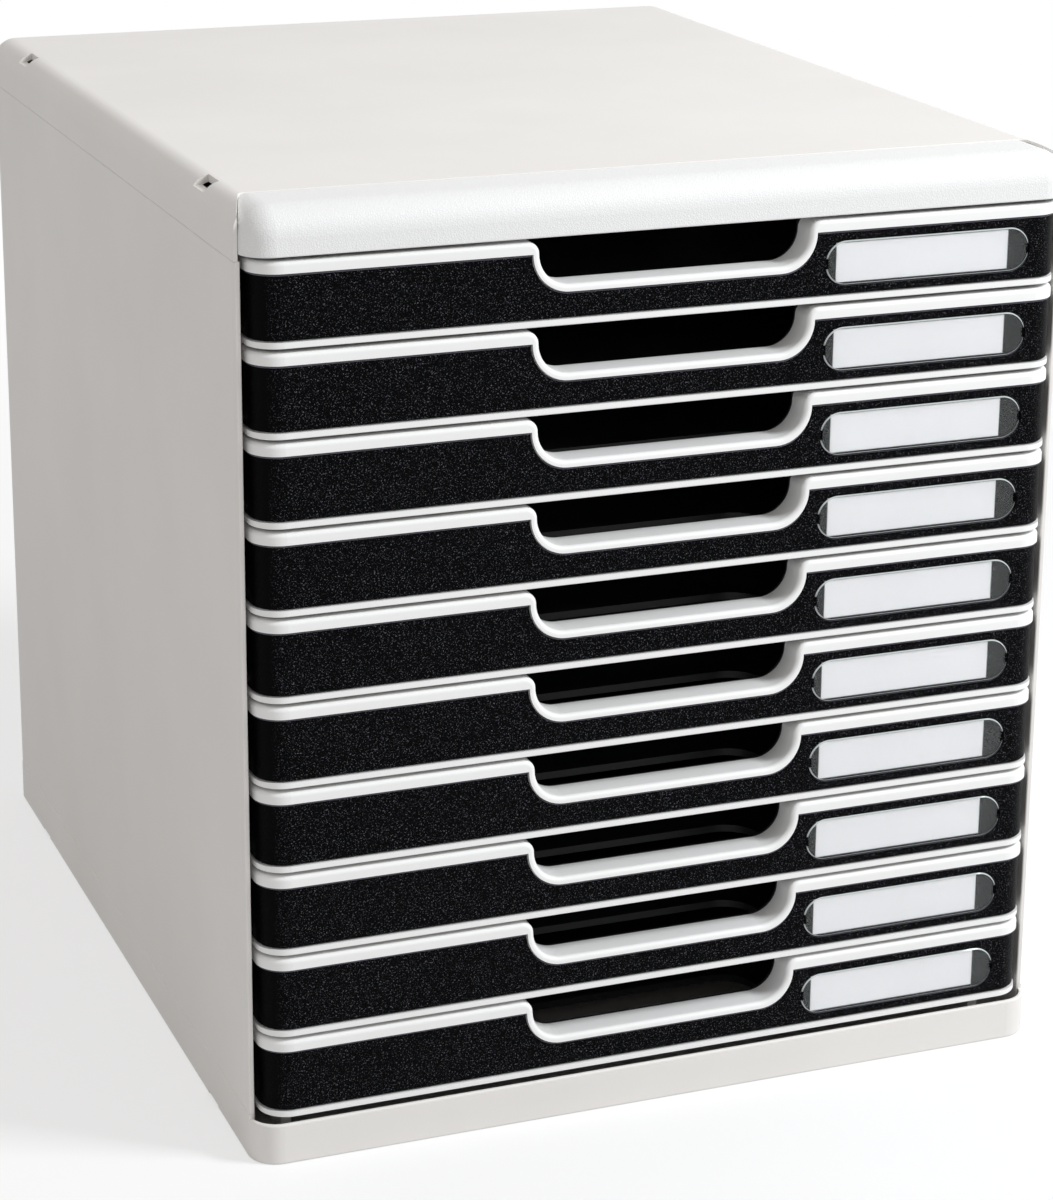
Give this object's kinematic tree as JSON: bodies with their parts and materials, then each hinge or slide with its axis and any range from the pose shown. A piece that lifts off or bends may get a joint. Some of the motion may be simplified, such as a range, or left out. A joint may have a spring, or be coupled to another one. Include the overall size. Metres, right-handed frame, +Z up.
{
  "type": "desktop drawer organizer",
  "caption": "Closed desktop filing module with flat sliding drawers, finger scoops and label windows in the drawer fronts, and recesses for stacking a second one on top.",
  "frame": {"origin": "middle of the underside, on the surface it stands on", "axes": "+Z up; the drawer fronts face -Y and slide that way; +X to the viewer's right, where the label windows are"},
  "size_m": [0.288, 0.35, 0.32],
  "materials": {
    "shell_plastic": "fine matt texture",
    "cornice_plastic": "fine leather grain",
    "frame_plastic": "smooth satin",
    "tray_plastic": "smooth satin black",
    "insert_plastic": "spark-eroded black texture",
    "lens_clear": "clear polished",
    "label_paper": "uncoated paper"
  },
  "bodies": {
    "case": {"top_cover": "shell_plastic", "front_cornice": "cornice_plastic", "base": "shell_plastic", "side_panel_left": "shell_plastic", "side_panel_right": "shell_plastic", "back_panel": "shell_plastic"},
    "drawer_01": {"tray_01": "tray_plastic", "front_frame_01": "frame_plastic", "insert_01": "insert_plastic", "lens_01": "lens_clear", "label_01": "label_paper"},
    "drawer_02": {"tray_02": "tray_plastic", "front_frame_02": "frame_plastic", "insert_02": "insert_plastic", "lens_02": "lens_clear", "label_02": "label_paper"},
    "drawer_03": {"tray_03": "tray_plastic", "front_frame_03": "frame_plastic", "insert_03": "insert_plastic", "lens_03": "lens_clear", "label_03": "label_paper"},
    "drawer_04": {"tray_04": "tray_plastic", "front_frame_04": "frame_plastic", "insert_04": "insert_plastic", "lens_04": "lens_clear", "label_04": "label_paper"},
    "drawer_05": {"tray_05": "tray_plastic", "front_frame_05": "frame_plastic", "insert_05": "insert_plastic", "lens_05": "lens_clear", "label_05": "label_paper"},
    "drawer_06": {"tray_06": "tray_plastic", "front_frame_06": "frame_plastic", "insert_06": "insert_plastic", "lens_06": "lens_clear", "label_06": "label_paper"},
    "drawer_07": {"tray_07": "tray_plastic", "front_frame_07": "frame_plastic", "insert_07": "insert_plastic", "lens_07": "lens_clear", "label_07": "label_paper"},
    "drawer_08": {"tray_08": "tray_plastic", "front_frame_08": "frame_plastic", "insert_08": "insert_plastic", "lens_08": "lens_clear", "label_08": "label_paper"},
    "drawer_09": {"tray_09": "tray_plastic", "front_frame_09": "frame_plastic", "insert_09": "insert_plastic", "lens_09": "lens_clear", "label_09": "label_paper"},
    "drawer_10": {"tray_10": "tray_plastic", "front_frame_10": "frame_plastic", "insert_10": "insert_plastic", "lens_10": "lens_clear", "label_10": "label_paper"}
  },
  "joints": [
    {"name": "drawer_01_slide", "type": "slide", "parent": "case", "child": "drawer_01", "axis": [0, -1, 0], "range_m": [0, 0.266]},
    {"name": "drawer_02_slide", "type": "slide", "parent": "case", "child": "drawer_02", "axis": [0, -1, 0], "range_m": [0, 0.266]},
    {"name": "drawer_03_slide", "type": "slide", "parent": "case", "child": "drawer_03", "axis": [0, -1, 0], "range_m": [0, 0.266]},
    {"name": "drawer_04_slide", "type": "slide", "parent": "case", "child": "drawer_04", "axis": [0, -1, 0], "range_m": [0, 0.266]},
    {"name": "drawer_05_slide", "type": "slide", "parent": "case", "child": "drawer_05", "axis": [0, -1, 0], "range_m": [0, 0.266]},
    {"name": "drawer_06_slide", "type": "slide", "parent": "case", "child": "drawer_06", "axis": [0, -1, 0], "range_m": [0, 0.266]},
    {"name": "drawer_07_slide", "type": "slide", "parent": "case", "child": "drawer_07", "axis": [0, -1, 0], "range_m": [0, 0.266]},
    {"name": "drawer_08_slide", "type": "slide", "parent": "case", "child": "drawer_08", "axis": [0, -1, 0], "range_m": [0, 0.266]},
    {"name": "drawer_09_slide", "type": "slide", "parent": "case", "child": "drawer_09", "axis": [0, -1, 0], "range_m": [0, 0.266]},
    {"name": "drawer_10_slide", "type": "slide", "parent": "case", "child": "drawer_10", "axis": [0, -1, 0], "range_m": [0, 0.266]}
  ]
}
